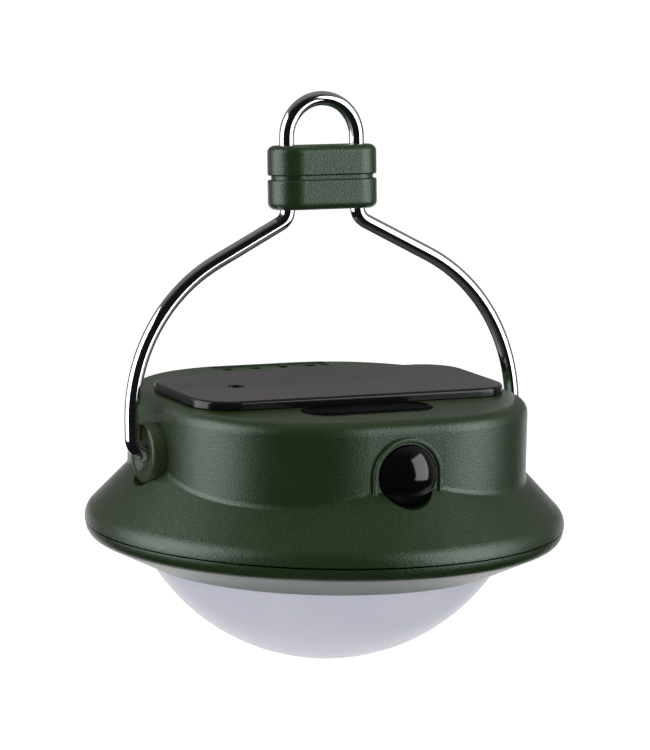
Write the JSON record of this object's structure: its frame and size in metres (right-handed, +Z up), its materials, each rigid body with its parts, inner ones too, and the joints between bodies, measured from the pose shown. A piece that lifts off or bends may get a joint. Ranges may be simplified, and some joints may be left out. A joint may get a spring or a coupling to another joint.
{
  "type": "hanging camping lantern",
  "caption": "Saucer-shaped hanging lantern with a frosted light dome, solar panel top, side push button, rubber-covered charging port and folding wire bail with a hanging loop.",
  "frame": {"origin": "lowest point of the light dome, on the dome's axis", "axes": "+Z up along the dome's axis, the push button faces -Y, the bail turns about X"},
  "size_m": [0.11, 0.11, 0.1295],
  "materials": {
    "housing_green": "fine spark-eroded texture, dark olive green moulding",
    "ear_green": "darker olive moulding with a soft sheen",
    "diffuser_white": "milky satin light dome",
    "white_plastic": "plain white moulding",
    "seal_rubber": "soft closed-cell gasket",
    "bright_wire": "polished chrome-plated spring wire",
    "steel": "zinc-plated steel",
    "board": "solder-masked circuit board",
    "lamp": "phosphor-filled lamp package",
    "cell_wrap": "shrink-wrapped steel can",
    "black_plastic": "plain black moulding",
    "button_black": "polished black dome",
    "cover_rubber": "satin black rubber",
    "panel_black": "dark satin face with a polished edge",
    "panel_board": "black laminate",
    "silicon": "dark blue silicon wafer",
    "dark_lens": "smoked lens",
    "smoked_guide": "smoked light guide",
    "lead_sleeve": "soft insulated wire"
  },
  "bodies": {
    "lantern": {"upper_housing": "housing_green", "lower_ring": "housing_green", "diffuser": "diffuser_white", "diffuser_seal": "seal_rubber", "reflector_plate": "white_plastic", "reflector_screws": "steel", "led_board": "board", "led_board_screws": "steel", "leds": "lamp", "battery_cell": "cell_wrap", "battery_cradle": "white_plastic", "battery_terminals": "steel", "battery_strap": "white_plastic", "battery_screws": "steel", "control_board": "board", "control_board_screws": "steel", "board_components": "black_plastic", "lead_connectors": "white_plastic", "usb_output_shell": "steel", "usb_output_tongue": "black_plastic", "usb_charge_shell": "steel", "usb_charge_tongue": "black_plastic", "switch_body": "black_plastic", "indicator_light_guide": "smoked_guide", "indicator_board": "board", "indicator_lamps": "lamp", "indicator_screws": "steel", "panel_pad": "seal_rubber", "panel_backing": "panel_board", "solar_cells": "silicon", "panel_cover": "panel_black", "charge_lens": "dark_lens", "usb_cover_anchor": "cover_rubber", "pivot_ear_left": "ear_green", "pivot_ear_right": "ear_green", "solar_leads": "lead_sleeve", "battery_leads": "lead_sleeve", "led_leads": "lead_sleeve"},
    "bail": {"bail_wire": "bright_wire", "bail_collar": "housing_green", "bail_clips": "steel"},
    "button": {"button_cap": "button_black", "switch_plunger": "black_plastic"},
    "usb_cover": {"usb_cover": "cover_rubber"}
  },
  "joints": [
    {"name": "bail_pivot", "type": "hinge", "parent": "lantern", "child": "bail", "pos_m": [0, 0, 0.0494], "axis": [1, 0, 0], "range_deg": [-92, 102]},
    {"name": "button_press", "type": "slide", "parent": "lantern", "child": "button", "axis": [0, 1, 0], "range_m": [0, 0.0012], "stiffness_N_per_m": 900, "springref_m": -0.0008},
    {"name": "usb_cover_flap", "type": "hinge", "parent": "lantern", "child": "usb_cover", "pos_m": [-0.0141, -0.0253, 0.062], "axis": [0, -1, 0], "range_deg": [0, 120]}
  ]
}
